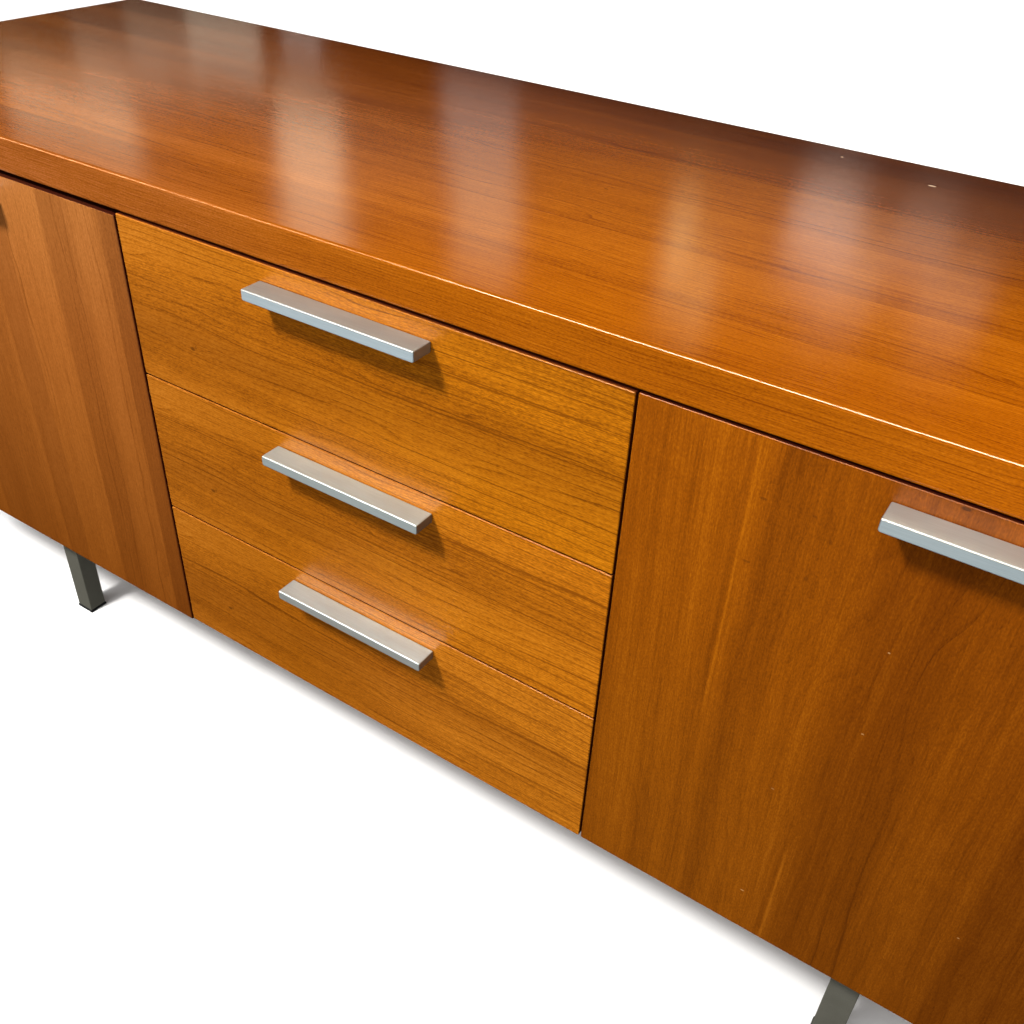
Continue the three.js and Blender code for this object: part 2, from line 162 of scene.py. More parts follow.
# --------------------------------------------------------------------- veneers
def veneer(name, grain, dark, mid, light, shift=(0.0, 0.0), seed=0.0, leaf=None, leaf_start=0.0, leaf_tone=0.0, leaf_min=-9.0,
           rings=90.0, ring_depth=0.5, sharp=9.0, warp=4.0, fibre=0.5, flecks=0.15, tone=0.5, band=10.0, mottle=0.2,
           rough=0.3, spec=0.25, pores=0.08, tones=None, spots=(), lines=(), bulges=(), pins=0.0, gap_shade_edge=None, ends=False,
           fade=None, corner=None, under_shade=None, whole=0.35, calm=None, grit=0.0, wave=0.004, tones2=None, kink=0.9, jump=3.2, hum=0.22, quiet=None):
    """Lacquered veneer. The three letters of grain are the axis along the fibres, the axis across them and the
    axis of thickness; the last two are added so that the figure runs on round the edge of the board."""
    g = Graph(name)
    axis = dict(zip("XYZ", g.xyz()))
    a, b, c = (axis[k] for k in grain)
    u = g.add(a, shift[0])
    v = g.add(g.add(b, c), shift[1])
    face = g.node("ShaderNodeSeparateXYZ")
    tc = g.node("ShaderNodeTexCoord")
    g.put(face.inputs[0], tc.outputs["Normal"])
    facing = dict(zip("XYZ", face.outputs))
    if ends:
        m = g.math("GREATER_THAN", g.math("ABSOLUTE", facing[grain[0]]), 0.7)
        u, v = g.add(u, g.mul(m, g.math("SUBTRACT", b, u))), g.add(v, g.mul(m, g.math("SUBTRACT", c, v)))
    depth = seed * 3.1
    if leaf:
        vb = g.math("MAXIMUM", v, leaf_min)
        li = g.math("FLOOR", g.mul(g.add(vb, -leaf_start), 1.0 / leaf))
        wn = g.node("ShaderNodeTexWhiteNoise", noise_dimensions="1D")
        g.put(wn.inputs["W"], g.add(li, 3.7 + seed))
        rnd = wn.outputs["Value"]
        sep = g.node("ShaderNodeSeparateColor")
        g.put(sep.inputs[0], wn.outputs["Color"])
        depth = g.add(g.mul(li, 0.16), depth)
        vl = g.add(v, g.mul(li, -leaf * 0.92))
        ul = g.add(u, g.mul(sep.outputs[1], 0.05))
    else:
        vl, ul = v, u

    def far(u0, v0, ru, rv):
        p = g.mul(g.add(u, -u0), 1.0 / ru)
        q = g.mul(g.add(v, -v0), 1.0 / rv)
        return g.add(g.mul(p, p), g.mul(q, q))

    # growth lines: slow wander, small ripple, swirls round a knot
    wander = g.add(g.noise(g.vec(g.mul(ul, 1.3), g.mul(vl, 5.0), depth), detail=2.0), -0.5)
    ripple = g.add(g.noise(g.vec(g.mul(ul, 9.0), g.mul(vl, 34.0), depth), detail=2.0), -0.5)
    uneven = g.add(g.noise(g.vec(g.mul(ul, 0.6), g.mul(vl, rings * 0.30), g.add(depth, 2.2)), detail=1.0), -0.5)
    t = g.add(g.mul(vl, rings), g.add(g.mul(wander, warp * 2.0), g.add(g.mul(ripple, kink), g.mul(uneven, jump))))
    for u0, v0, ru, rv, amount in bulges:
        t = g.add(t, g.mul(g.math("EXPONENT", g.mul(far(u0, v0, ru, rv), -1.0)), amount))
    each = g.node("ShaderNodeTexWhiteNoise", noise_dimensions="1D")
    g.put(each.inputs["W"], g.add(g.math("FLOOR", t), 0.5 + seed))
    late = g.mul(g.math("POWER", g.math("FRACT", t), sharp), g.stretch(each.outputs["Value"], 0.35, 1.0, 0.05, 1.0))
    mask = g.stretch(g.noise(g.vec(g.mul(ul, 1.9), g.mul(vl, 8.0), g.add(depth, 5.3)), detail=2.0), 0.38, 0.62, 0.12, 1.0, True)
    broken = g.stretch(g.noise(g.vec(g.mul(ul, 26.0), g.mul(vl, 330.0), depth), detail=2.0), 0.3, 0.7, whole, 1.0)
    late = g.mul(late, g.mul(mask, broken))
    if calm:
        late = g.mul(late, g.stretch(g.add(u, g.mul(wander, 0.25)), calm[0], calm[1], calm[2], 1.0, True))
    if quiet:
        late = g.mul(late, g.stretch(v, quiet[0] - 0.0006, quiet[0] + 0.0006, quiet[1], 1.0))
    faint = g.mul(g.math("POWER", g.math("FRACT", g.add(g.mul(t, 2.7), g.mul(ripple, 1.4))), 5.0), hum)

    # broad tone bands, fibres, short pores, cross-grain mottle
    bands = g.noise(g.vec(g.mul(ul, 0.8), g.mul(g.add(vl, g.mul(wander, 0.02)), band), g.add(depth, 1.7)), detail=3.0, rough=0.55)
    hair = g.noise(g.vec(g.mul(ul, 12.0), g.mul(vl, 620.0), depth), detail=3.0, rough=0.6)
    fine = g.noise(g.vec(g.mul(ul, 70.0), g.mul(vl, 2300.0), depth), detail=2.0, rough=0.6)
    dash = g.stretch(g.noise(g.vec(g.mul(ul, 70.0), g.mul(vl, 820.0), g.add(depth, 3.3)), detail=1.0), 0.55, 0.66, 0.0, 1.0, True)
    flake = g.noise(g.vec(g.mul(ul, 46.0), g.mul(vl, 40.0), g.add(depth, 9.1)), detail=2.0)
    f = g.add(0.5, g.mul(g.add(bands, -0.5), tone * 2.2))
    f = g.add(f, g.mul(g.add(hair, -0.5), fibre))
    f = g.add(f, g.mul(g.add(fine, -0.5), fibre * 0.7))
    f = g.add(f, g.mul(g.add(flake, -0.5), mottle))
    f = g.math("SUBTRACT", f, g.mul(g.add(late, faint), ring_depth))
    f = g.math("SUBTRACT", f, g.mul(dash, flecks))
    if grit:
        amount, fu, fv = grit if isinstance(grit, tuple) else (grit, 330.0, 760.0)
        speck = g.noise(g.vec(g.mul(ul, fu), g.mul(vl, fv), g.add(depth, 6.1)), detail=1.0, rough=0.6)
        f = g.add(f, g.mul(g.add(speck, -0.5), amount))
    for v0, u0, u1, width, amount in lines:
        d = g.math("ABSOLUTE", g.add(g.add(v, -v0), g.mul(wander, 0.010)))
        s = g.mul(g.stretch(d, 0.0, width, 1.0, 0.0, True), g.stretch(u, u0 - 0.03, u0 + 0.05, 0.0, 1.0, True))
        f = g.add(f, g.mul(g.mul(s, g.stretch(u, u1 - 0.05, u1 + 0.03, 1.0, 0.0, True)), amount))
    col = g.ramp(g.math("ADD", f, 0.0, clamp=True), [(0.0, dark), (0.5, mid), (1.0, light)])
    if leaf and leaf_tone:
        k = g.stretch(rnd, 0.0, 1.0, 1.0 - leaf_tone, 1.0 + leaf_tone * 0.75)
        col = g.mix(1.0, col, g.vec(k, g.math("POWER", k, 1.25), g.math("POWER", k, 1.4)), "MULTIPLY")
    if tones:
        v0, v1, stops = tones
        k = g.ramp(g.stretch(g.add(v, g.mul(ripple, wave)), v0, v1), [((p - v0) / (v1 - v0), c) for p, c in stops])
        if tones2:
            k2 = g.ramp(g.stretch(v, v0, v1), [((p - v0) / (v1 - v0), c) for p, c in tones2[2]])
            k = g.mix(g.stretch(u, tones2[0], tones2[1], 0.0, 1.0, True), k, k2)
        col = g.mix(1.0, col, k, "MULTIPLY")
    if fade:
        u0, u1, stops = fade
        k = g.ramp(g.stretch(u, u0, u1), [((p - u0) / (u1 - u0), c) for p, c in stops])
        col = g.mix(1.0, col, k, "MULTIPLY")
    if corner:
        cu, c0, c1, k1 = corner
        k = g.stretch(g.add(g.mul(u, cu), v), c0, c1, 1.0, k1, True)
        col = g.mix(1.0, col, g.vec(k, g.math("POWER", k, 1.1), g.math("POWER", k, 1.2)), "MULTIPLY")
    if pins:
        vo = g.node("ShaderNodeTexVoronoi", feature="F1")
        vo.inputs["Scale"].default_value = 1.0
        g.put(vo.inputs["Vector"], g.vec(g.mul(ul, 6.0), g.mul(vl, 11.0), seed))
        spot = g.stretch(vo.outputs["Distance"], 0.016, 0.034, 1.0, 0.0, True)
        sepc = g.node("ShaderNodeSeparateColor")
        g.put(sepc.inputs[0], vo.outputs["Color"])
        keep = g.math("GREATER_THAN", sepc.outputs[0], 1.0 - pins)
        col = g.mix(g.mul(g.mul(spot, keep), 0.6), col, (0.09, 0.022, 0.003))
    for u0, v0, ru, rv, tint, amount in spots:
        col = g.mix(g.mul(g.stretch(g.add(far(u0, v0, ru, rv), g.mul(g.add(hair, -0.5), 0.8)), 0.35, 1.2, 1.0, 0.0, True), amount), col, tint)
    # Painted shade: edge faces that face the gaps, behind the rounded arris, take the given dark colour and lose their
    # gloss, standing in for the shade inside the gaps.
    if gap_shade_edge:
        side = g.stretch(g.math("ABSOLUTE", facing[gap_shade_edge[0]]), gap_shade_edge[3], gap_shade_edge[3] * 0.6, 0.0, 1.0, True)
        inner = g.stretch(axis[gap_shade_edge[0]], gap_shade_edge[1] + gap_shade_edge[4], gap_shade_edge[1] + gap_shade_edge[4] + 0.0006, 0.0, 1.0, True)
        gap_shade = g.mul(side, inner)
        col = g.mix(g.mul(gap_shade, 0.96), col, gap_shade_edge[2])
        spec = g.mul(g.math("SUBTRACT", 1.0, gap_shade), spec)
    # Painted shade: faces turned downwards take the given dark colour and lose their gloss, standing in for the shade
    # under the slab.
    if under_shade:
        under_shade_mask = g.stretch(facing["Z"], -0.05, -0.22, 0.0, 0.95)
        col = g.mix(g.stretch(facing["Z"], -0.62, -0.95, 0.0, 0.95), col, under_shade)
        spec = g.mul(g.math("SUBTRACT", 1.0, under_shade_mask), spec)
    r = g.add(rough, g.mul(g.add(hair, -0.5), 0.10))
    height = g.add(g.mul(hair, 0.7), g.mul(fine, 0.5))
    height = g.math("SUBTRACT", height, g.mul(late, 0.5))
    nrm = g.bump(height, pores, 0.0004)
    return g.set(color=col, rough=r, normal=nrm, spec=spec)


FRONT = -0.277
SLAB = 0.760
# Painted shade: the next two colours, near-black and dark maroon, are laid on the gap-facing edge faces of the fronts
# (the near-black one also on the underside of the slab), standing in for the shade in the gaps and under the slab.
DARK_SHADE = (0.036, 0.0050, 0.0035)
MAROON_SHADE = (0.085, 0.015, 0.007)
KNOT = (0.075, 0.018, 0.002)
CHIP = (0.80, 0.62, 0.42)
NICK = (0.66, 0.36, 0.13)


def grey(k):
    return (k, k ** 1.2, k ** 1.35)


# Painted shade: the tones and tones2 ramps darken the top towards the back edge, down to about a third, and corner
# darkens the back right; these stand in for the light falling off and the darker reflections at the back. The dark
# colour on the underside is painted shade under the slab.
TOP = veneer("veneer_top", "XYZ", (0.22, 0.045, 0.0008), (0.43, 0.112, 0.0016), (0.64, 0.198, 0.007), shift=(0.0, -SLAB - 0.001), seed=1.0,
             leaf=0.108, leaf_start=-0.203, leaf_tone=0.02, leaf_min=-0.277, rings=120.0, ring_depth=1.45, sharp=11.0, warp=4.5, whole=0.75, wave=0.0,
             fibre=0.80, flecks=0.05, grit=0.65, tone=0.52, band=11.0, mottle=0.10, rough=0.13, spec=0.5, pores=0.10, ends=True,
             under_shade=DARK_SHADE, corner=(0.35, 0.10, 0.40, 0.55), quiet=(-0.2785, 0.42),
             fade=(-0.95, 0.95, [(-0.95, (0.54, 0.61, 5.2)), (-0.80, (0.57, 0.63, 4.7)), (-0.60, (0.75, 0.78, 5.0)), (-0.50, (0.75, 0.77, 5.0)), (-0.20, (0.80, 0.81, 4.0)), (-0.06, (0.86, 0.85, 2.2)),
                                 (0.12, (0.96, 0.95, 1.2)), (0.24, (1.02, 1.02, 1.0)), (0.50, (1.04, 1.02, 0.9)), (0.62, (1.16, 1.12, 0.9)), (0.95, (1.10, 1.08, 1.0))]),
             tones=(-0.32, 0.31, [(-0.32, (0.93, 0.98, 1.5)), (-0.2795, (0.93, 0.98, 1.5)), (-0.2775, (0.86, 0.84, 1.0)), (-0.2055, (0.85, 0.83, 1.0)),
                                  (-0.2045, (1.00, 1.01, 1.1)), (-0.0955, (0.92, 0.91, 1.1)), (-0.0945, (0.81, 0.78, 0.9)), (0.0125, grey(0.70)),
                                  (0.15, grey(0.58)), (0.25, grey(0.44)), (0.31, grey(0.30))]),
             tones2=(-0.12, 0.10, [(-0.32, (0.93, 0.97, 1.2)), (-0.2795, (0.93, 0.97, 1.2)), (-0.2775, (0.87, 0.83, 0.7)), (-0.2055, (0.87, 0.83, 0.8)),
                                   (-0.2045, (0.95, 0.94, 1.0)), (-0.0955, (0.88, 0.86, 1.0)), (-0.0945, (0.86, 0.84, 1.0)), (0.0125, grey(0.74)),
                                   (0.15, grey(0.58)), (0.25, grey(0.42)), (0.31, grey(0.30))]),
             lines=((-0.2030, -0.9, 0.9, 0.0016, 0.10),),
             spots=((0.3777, 0.2332, 0.0046, 0.0020, CHIP, 0.9), (0.269, 0.2656, 0.0016, 0.0014, CHIP, 0.6), (0.229, -0.0115, 0.0030, 0.0012, KNOT, 0.5),
                    (0.114, 0.0, 0.0026, 0.0012, KNOT, 0.5)))
DRAWER = {}
LEFT_TONES = (
    ((-0.195, 0.97), (-0.150, 0.98), (-0.137, 0.90), (-0.126, 0.78), (-0.109, 0.78), (-0.098, 0.88), (-0.087, 1.0), (-0.062, 1.02), (-0.050, 1.16), (-0.037, 1.05), (0.01, 1.0)),
    ((-0.195, 0.94), (-0.160, 1.04), (-0.137, 0.99), (-0.126, 0.80), (-0.109, 0.79), (-0.096, 0.88), (-0.085, 0.94), (-0.075, 1.03), (0.01, 0.96)),
    ((-0.195, 0.88), (-0.160, 0.94), (-0.137, 0.89), (-0.122, 0.79), (-0.100, 0.77), (-0.087, 0.92), (-0.062, 1.09), (-0.050, 1.11), (-0.037, 1.0), (0.01, 1.0)),
)
RIGHT_TONES = (
    ((-0.195, 1.16), (-0.155, 1.10), (-0.135, 0.93), (-0.110, 0.82), (-0.085, 0.80), (-0.070, 0.94), (-0.058, 1.12), (-0.050, 1.26), (-0.041, 1.08), (0.01, 1.0)),
    ((-0.195, 1.20), (-0.150, 1.15), (-0.125, 1.06), (-0.100, 0.98), (-0.087, 0.93), (-0.070, 0.98), (-0.050, 1.11), (-0.030, 1.12), (-0.012, 1.20), (0.01, 1.18)),
    ((-0.195, 1.12), (-0.137, 1.10), (-0.112, 0.97), (-0.088, 0.91), (-0.075, 1.06), (-0.062, 1.24), (-0.050, 1.32), (-0.035, 1.20), (-0.012, 1.23), (0.01, 1.18)),
)
# Painted shade: the drawer fronts' gap-facing edge faces take a dark maroon, standing in for the shade in the gaps
# between the fronts.
for i, row in enumerate(("top", "middle", "bottom")):
    lo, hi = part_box(f"{row}_drawer_front")
    DRAWER[row] = veneer(f"veneer_drawer_{row}", "XZY", (0.19, 0.047, 0.0012), (0.41, 0.117, 0.0030), (0.56, 0.188, 0.010),
                         shift=(0.004 * i, -hi.z - FRONT), rings=86.0, ring_depth=4.4, sharp=24.0, warp=2.6, kink=0.34, jump=3.4, hum=0.075, fibre=0.80, flecks=0.10, whole=0.80, grit=(1.05, 260.0, 900.0), calm=(-0.22, 0.10, 0.50),
                         fade=(-0.33, 0.33, [(-0.33, (1.06, 1.12, 2.2)), (-0.10, (1.04, 1.08, 1.2)), (0.05, (1.12, 1.19, 0.8 + 0.7 * i)),
                                             (0.33, (1.26 + 0.04 * (i == 1), 1.38, 0.7 + 0.7 * i))]),
                         tone=0.66, band=11.0, mottle=0.14, rough=0.34, spec=0.22, pores=0.08, seed=2.0 + 0.012 * i,
                         lines=tuple((v0 + 0.0016 * ((i * 7 + j * 3) % 5 - 2), (-0.36, 0.02, -0.10, -0.04)[(j + i) % 4], 0.36, 0.0009, -0.30 - 0.14 * ((j * 3 + i) % 4))
                                     for j, v0 in enumerate((-0.015, -0.027, -0.041, -0.048, -0.063, -0.079, -0.088, -0.104, -0.121, -0.139, -0.151, -0.169))),
                         bulges=((0.03, -0.012, 0.04, 0.008, 0.8), (-0.212, -0.126, 0.02, 0.005, 0.6)),
                         spots=((-0.212, -0.126, 0.0036, 0.0026, KNOT, 0.62), (-0.207, -0.1235, 0.0016, 0.003, KNOT, 0.35)),
                         tones=(-0.195, 0.01, [(p, grey(k)) for p, k in LEFT_TONES[i]]), tones2=(-0.08, 0.14, [(p, grey(k)) for p, k in RIGHT_TONES[i]]),
                         gap_shade_edge=("Y", FRONT, MAROON_SHADE, 0.60, 0.0010))
LEFT_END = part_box("left_door")[1].x
# Painted shade: the doors' gap-facing edge faces take the near-black colour, standing in for the shade in the gaps.
DOOR = {
    "left": veneer("veneer_door_left", "ZXY", (0.25, 0.072, 0.0080), (0.40, 0.130, 0.0175), (0.53, 0.190, 0.032), shift=(-0.003, -FRONT),
                   fade=(0.15, 0.72, [(0.15, (0.66, 0.56, 0.36)), (0.40, (0.84, 0.77, 0.76)), (0.55, (0.92, 0.87, 1.05)), (0.72, (1.08, 1.16, 1.85))]),
                   grit=0.85, rings=66.0, ring_depth=0.80, sharp=20.0, warp=1.8, fibre=0.62, flecks=0.05, whole=0.8, tone=0.26, band=20.0, mottle=0.08,
                   rough=0.34, spec=0.22, pores=0.06, pins=0.10, seed=5.0, gap_shade_edge=("Y", FRONT, DARK_SHADE, 0.97, -0.0004), wave=0.0,
                   # Painted shade: the last stops of these tones paint the final millimetre of the face next to the
                   # right-hand gap a dark maroon, standing in for the shade in the gap.
                   tones=(-0.91, -0.30, [(-0.91, grey(0.92)), (-0.862, grey(0.92)), (-0.860, grey(1.06)), (-0.792, grey(1.04)), (-0.790, grey(0.86)), (-0.748, grey(0.86)),
                                         (-0.746, grey(1.0)), (-0.688, grey(1.0)), (-0.686, grey(0.84)), (-0.640, grey(0.84)), (-0.600, grey(0.90)), (-0.549, grey(1.02)),
                                         (-0.546, grey(0.84)), (-0.505, grey(0.86)), (-0.502, grey(1.04)), (-0.432, grey(1.10)), (-0.430, grey(0.86)), (-0.390, grey(0.87)),
                                         (-0.370, grey(1.0)), (-0.331, grey(0.98)), (-0.328, grey(0.74)), (LEFT_END - 0.0014, grey(0.74)), (LEFT_END - 0.0008, (0.12, 0.035, 0.09)), (-0.300, (0.12, 0.035, 0.09))])),
    "right": veneer("veneer_door_right", "ZXY", (0.150, 0.0345, 0.0006), (0.273, 0.0672, 0.0008), (0.435, 0.1235, 0.0026), shift=(-0.003, -FRONT),
                    fade=(0.15, 0.72, [(0.15, (0.98, 1.06, 2.2)), (0.34, (1.02, 1.08, 1.6)), (0.50, (1.02, 1.03, 0.9)), (0.72, (1.05, 1.03, 0.55))]), grit=0.75,
                    rings=46.0, ring_depth=0.60, sharp=14.0, warp=3.0, kink=0.5, fibre=0.60, flecks=0.05, whole=0.7, tone=0.62, band=20.0, mottle=0.16,
                    rough=0.34, spec=0.22, pores=0.06, pins=0.10, seed=7.0, gap_shade_edge=("Y", FRONT, DARK_SHADE, 0.60, 0.0003),
                    lines=((0.405, 0.42, 0.73, 0.0021, 0.30), (0.4005, 0.43, 0.72, 0.0050, -0.16), (0.510, 0.13, 0.31, 0.0021, 0.36),
                           (0.536, 0.40, 0.66, 0.0018, 0.12), (0.452, 0.48, 0.73, 0.0020, 0.10), (0.505, 0.14, 0.30, 0.0040, -0.12)),
                    tones=(0.2, 0.92, [(0.2, grey(1.08)), (0.36, grey(1.12)), (0.40, grey(1.14)), (0.44, grey(1.10)), (0.46, grey(1.12)), (0.50, grey(0.94)), (0.535, grey(0.72)), (0.56, grey(0.77)), (0.60, grey(0.90)), (0.655, grey(0.77)),
                                       (0.676, grey(0.55)), (0.92, grey(0.62))]),
                    bulges=((0.56, 0.56, 0.09, 0.016, 1.6), (0.665, 0.415, 0.02, 0.006, 0.6)),
                    spots=((0.7125, 0.549, 0.0018, 0.0036, KNOT, 0.9), (0.663, 0.414, 0.0014, 0.0034, KNOT, 0.45), (0.601, 0.412, 0.0014, 0.0034, KNOT, 0.45), (0.607, 0.460, 0.0026, 0.0016, KNOT, 0.38),
                           (0.647, 0.470, 0.0022, 0.0014, KNOT, 0.36), (0.664, 0.454, 0.0012, 0.0022, KNOT, 0.36),
                           (0.570, 0.534, 0.0009, 0.0012, NICK, 0.6), (0.480, 0.536, 0.0009, 0.0013, NICK, 0.5), (0.215, 0.481, 0.0010, 0.0022, NICK, 0.6),
                           (0.304, 0.664, 0.0009, 0.0013, NICK, 0.5), (0.371, 0.481, 0.0009, 0.0018, NICK, 0.35))),
}
CASE = {
    "gable": veneer("veneer_gable", "ZYX", (0.15, 0.034, 0.0012), (0.30, 0.076, 0.0020), (0.46, 0.135, 0.006), shift=(0.0, 0.0),
                    leaf=0.145, leaf_start=-1.218, leaf_tone=0.06, rings=55.0, ring_depth=0.9, sharp=12.0, warp=3.0, fibre=0.55, flecks=0.05, grit=0.6,
                    tone=0.5, band=9.0, mottle=0.12, rough=0.34, spec=0.25, pores=0.08, pins=0.10, seed=9.0),
    "back": veneer("veneer_back", "ZXY", (0.15, 0.034, 0.0012), (0.29, 0.074, 0.0022), (0.44, 0.13, 0.006), shift=(0.0, 0.0),
                   leaf=0.15, leaf_start=-0.9, leaf_tone=0.07, rings=55.0, ring_depth=0.9, sharp=12.0, warp=3.0, fibre=0.55, flecks=0.05, grit=0.6,
                   tone=0.5, band=9.0, mottle=0.12, rough=0.42, spec=0.25, pores=0.10, pins=0.10, seed=12.0),
    "flat": veneer("veneer_inside_flat", "XYZ", (0.18, 0.044, 0.0020), (0.36, 0.102, 0.0040), (0.52, 0.17, 0.012), shift=(0.0, 0.0),
                   leaf=0.14, leaf_start=-0.26, leaf_tone=0.05, rings=70.0, ring_depth=1.0, sharp=12.0, warp=3.0, fibre=0.55, flecks=0.05, grit=0.6,
                   tone=0.5, band=9.0, mottle=0.12, rough=0.45, spec=0.25, pores=0.10, seed=15.0),
    "upright": veneer("veneer_inside_upright", "YZX", (0.18, 0.044, 0.0020), (0.36, 0.102, 0.0040), (0.52, 0.17, 0.012), shift=(0.0, 0.0),
                      leaf=0.14, leaf_start=0.18, leaf_tone=0.05, rings=70.0, ring_depth=1.0, sharp=12.0, warp=3.0, fibre=0.55, flecks=0.05, grit=0.6,
                      tone=0.5, band=9.0, mottle=0.12, rough=0.45, spec=0.25, pores=0.10, seed=18.0),
}


# ------------------------------------------------------------ metals and plastics
def aluminium(name, upper, front):
    """Satin anodised aluminium, fine brushing along the bar, edges polished by hands. Top faces and front faces get
    their own tints and the end faces are darkened: painted light and shade, which each handle's copy sets apart.
    """
    g = Graph(name)
    x, y, z = g.xyz()
    brush = g.noise(g.vec(g.mul(x, 40.0), g.mul(y, 2600.0), g.mul(z, 2600.0)), detail=3.0, rough=0.6)
    cloud = g.noise(g.vec(g.mul(x, 16.0), g.mul(y, 30.0), g.mul(z, 30.0)), detail=3.0)
    grit = g.noise(g.vec(x, y, z), scale=1500.0, detail=2.0)
    col = g.ramp(g.add(g.mul(brush, 0.7), g.mul(cloud, 0.3)), [(0.2, (0.37, 0.385, 0.382)), (0.8, (0.53, 0.55, 0.545))])
    tc = g.node("ShaderNodeTexCoord")
    face = g.node("ShaderNodeSeparateXYZ")
    g.put(face.inputs[0], tc.outputs["Normal"])
    # Painted light and shade: top and front faces are tinted apart, and the end faces are darkened to about half.
    tint = g.ramp(g.stretch(face.outputs[2], 0.2, 0.8, 0.0, 1.0), [(0.0, front), (1.0, upper)])
    col = g.mix(1.0, col, tint, "MULTIPLY")
    end_shade = g.stretch(g.math("ABSOLUTE", face.outputs[0]), 0.6, 0.95, 1.0, 0.52, True)
    col = g.mix(1.0, col, g.vec(end_shade, end_shade, end_shade), "MULTIPLY")
    r = g.add(0.40, g.add(g.mul(brush, 0.12), g.mul(cloud, 0.10)))
    nrm = g.bump(g.add(g.mul(brush, 0.6), g.mul(grit, 0.4)), 0.10, 0.0002)
    return g.set(color=col, rough=r, metal=0.88, normal=nrm)


def coated(name, dark, light, rough, metal=0.0, peel=900.0, depth=0.12, scuff=0.0):
    """Sprayed or powder-coated surface with orange peel and faint clouding."""
    g = Graph(name)
    x, y, z = g.xyz()
    p = g.vec(x, y, z)
    grain = g.noise(p, scale=peel, detail=2.0)
    cloud = g.noise(p, scale=18.0, detail=4.0)
    f = g.add(g.mul(grain, 0.45), g.mul(cloud, 0.55))
    col = g.ramp(f, [(0.25, dark), (0.75, light)])
    if scuff:
        s = g.noise(g.vec(g.mul(x, 60.0), g.mul(y, 60.0), g.mul(z, 900.0)), detail=4.0, rough=0.65)
        col = g.mix(g.mul(g.stretch(s, 0.62, 0.74, 0.0, 1.0, True), scuff), col, tuple(min(1.0, c * 1.8 + 0.03) for c in light))
    r = g.add(rough - 0.06, g.mul(cloud, 0.14))
    return g.set(color=col, rough=r, metal=metal, normal=g.bump(grain, depth, 0.0003))


def zinc(name):
    """Bright zinc plate: spangled tone with rolled scratches along the strip."""
    g = Graph(name)
    x, y, z = g.xyz()
    p = g.vec(x, y, z)
    vo = g.node("ShaderNodeTexVoronoi", feature="F1")
    vo.inputs["Scale"].default_value = 220.0
    g.put(vo.inputs["Vector"], p)
    sep = g.node("ShaderNodeSeparateColor")
    g.put(sep.inputs[0], vo.outputs["Color"])
    roll = g.noise(g.vec(g.mul(x, 900.0), g.mul(y, 25.0), g.mul(z, 900.0)), detail=3.0)
    f = g.add(g.mul(sep.outputs[0], 0.35), g.mul(roll, 0.65))
    col = g.ramp(f, [(0.2, (0.42, 0.43, 0.44)), (0.8, (0.68, 0.69, 0.70))])
    r = g.add(0.24, g.mul(roll, 0.22))
    return g.set(color=col, rough=r, metal=1.0, normal=g.bump(roll, 0.08, 0.0002))


# Painted light: five copies of one aluminium, one per handle, which differ only in how light their top and front faces
# are painted.
ALU_LIT_COPIES = {
    "top": aluminium("satin_aluminium_top", (0.82, 0.86, 0.92), (1.02, 1.05, 1.14)),
    "middle": aluminium("satin_aluminium_middle", (1.07, 1.23, 1.30), (0.84, 0.81, 0.81)),
    "bottom": aluminium("satin_aluminium_bottom", (1.12, 1.28, 1.39), (1.02, 0.93, 0.90)),
    "left": aluminium("satin_aluminium_left", (1.2, 1.2, 1.2), (0.88, 0.88, 0.90)),
    "right": aluminium("satin_aluminium_right", (1.17, 1.23, 1.30), (0.90, 0.91, 0.96)),
}
LEG = coated("leg_grey_metal", (0.195, 0.191, 0.154), (0.350, 0.345, 0.290), 0.38, metal=0.55, peel=1400.0, depth=0.08, scuff=0.15)
FOOT = coated("foot_black_plastic", (0.008, 0.008, 0.008), (0.022, 0.022, 0.022), 0.55, peel=1100.0, depth=0.2, scuff=0.1)
CATCH = coated("catch_black_plastic", (0.010, 0.010, 0.010), (0.026, 0.026, 0.027), 0.5, peel=1200.0, depth=0.2)
SIDE = coated("drawer_side_powder_coat", (0.26, 0.265, 0.27), (0.36, 0.365, 0.37), 0.48, peel=1100.0, depth=0.18, scuff=0.2)
BOARD = coated("drawer_board_foil", (0.40, 0.40, 0.395), (0.52, 0.52, 0.51), 0.55, peel=700.0, depth=0.15, scuff=0.12)
ZINC = zinc("zinc_steel")
# Painted shade: near-black colour in the shallow cross recesses of the screw heads, standing in for the shade inside
# the recess.
RECESS_SHADE = coated("screw_recess_shade", (0.016, 0.015, 0.014), (0.035, 0.033, 0.030), 0.6, metal=0.3, peel=2500.0, depth=0.2)


def look(obj, mat):
    obj.data.materials.clear()
    obj.data.materials.append(mat)


def soften(obj, width, segments=3):
    """Rounds the sharp edges of a CAD node, as sanding or a press brake leaves them."""
    w = obj.modifiers.new("join", "WELD")
    w.merge_threshold = 0.00001
    d = obj.modifiers.new("flat", "DECIMATE")
    d.decimate_type = "DISSOLVE"
    d.angle_limit = math.radians(0.5)
    b = obj.modifiers.new("arris", "BEVEL")
    b.width = width
    b.segments = segments
    b.limit_method = "ANGLE"
    b.angle_limit = math.radians(35)
    b.use_clamp_overlap = True
    b.harden_normals = True


